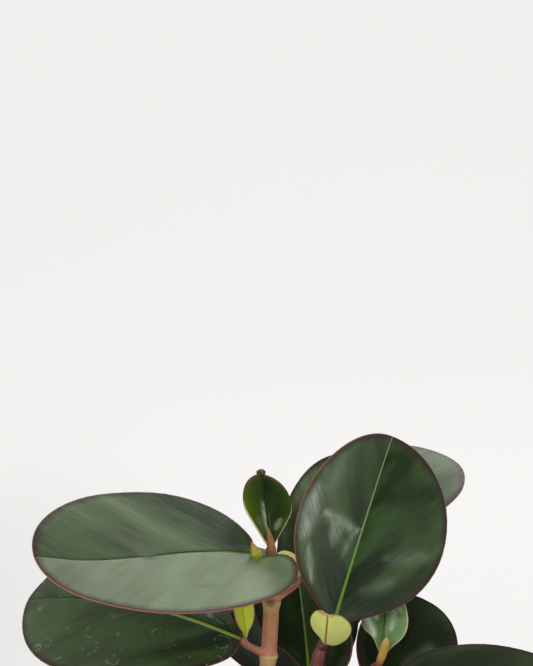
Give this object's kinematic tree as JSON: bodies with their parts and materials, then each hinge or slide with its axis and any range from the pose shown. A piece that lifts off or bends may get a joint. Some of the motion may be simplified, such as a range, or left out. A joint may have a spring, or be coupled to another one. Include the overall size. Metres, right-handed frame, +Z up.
{
  "type": "potted peperomia",
  "caption": "Bushy houseplant with thick oval dark green leaves on jointed reddish stems, rooted in soil in a plain tapered clay pot that stands on a flat foot.",
  "frame": {"origin": "middle of the flat underside of the pot", "axes": "+Z up along the pot's axis, -Y towards the side that the plant is seen from, +X to the right as seen from there"},
  "size_m": [0.2679, 0.2399, 0.2568],
  "materials": {
    "clay": "matte",
    "soil": "matte",
    "stem": "satin",
    "leaf": "satin",
    "young_leaf": "gloss"
  },
  "bodies": {
    "root": {"pot": "clay", "soil": "soil", "stem_front": "stem", "stem_middle": "stem", "stem_right": "stem", "stem_inner": "stem", "stem_back_right": "stem", "stem_back_left": "stem", "leaf_front_1": "leaf", "leaf_front_2": "leaf", "leaf_middle_1": "leaf", "leaf_middle_2": "leaf", "leaf_inner_1": "leaf", "leaf_inner_2": "leaf", "leaf_back_right_1": "leaf", "leaf_right_1": "leaf", "leaf_right_2": "leaf", "leaf_back_left_1": "leaf", "leaf_back_left_2": "leaf", "leaf_front_3": "leaf", "leaf_front_4": "leaf", "leaf_middle_3": "leaf", "leaf_right_3": "leaf", "leaf_back_right_2": "leaf", "leaf_back_right_3": "leaf", "leaf_inner_3": "leaf", "leaf_back_left_3": "leaf", "leaf_low_1": "leaf", "leaf_low_2": "leaf", "leaf_low_3": "leaf", "leaf_low_4": "leaf", "leaf_low_5": "leaf", "leaf_low_6": "leaf", "leaf_low_7": "leaf", "leaf_low_8": "leaf", "young_front_1": "young_leaf", "young_front_2": "young_leaf", "young_front_3": "young_leaf", "young_middle_1": "young_leaf", "young_right_1": "young_leaf", "young_inner_1": "young_leaf", "young_back_right_1": "young_leaf", "young_back_left_1": "young_leaf", "young_back_left_2": "young_leaf"}
  },
  "joints": []
}
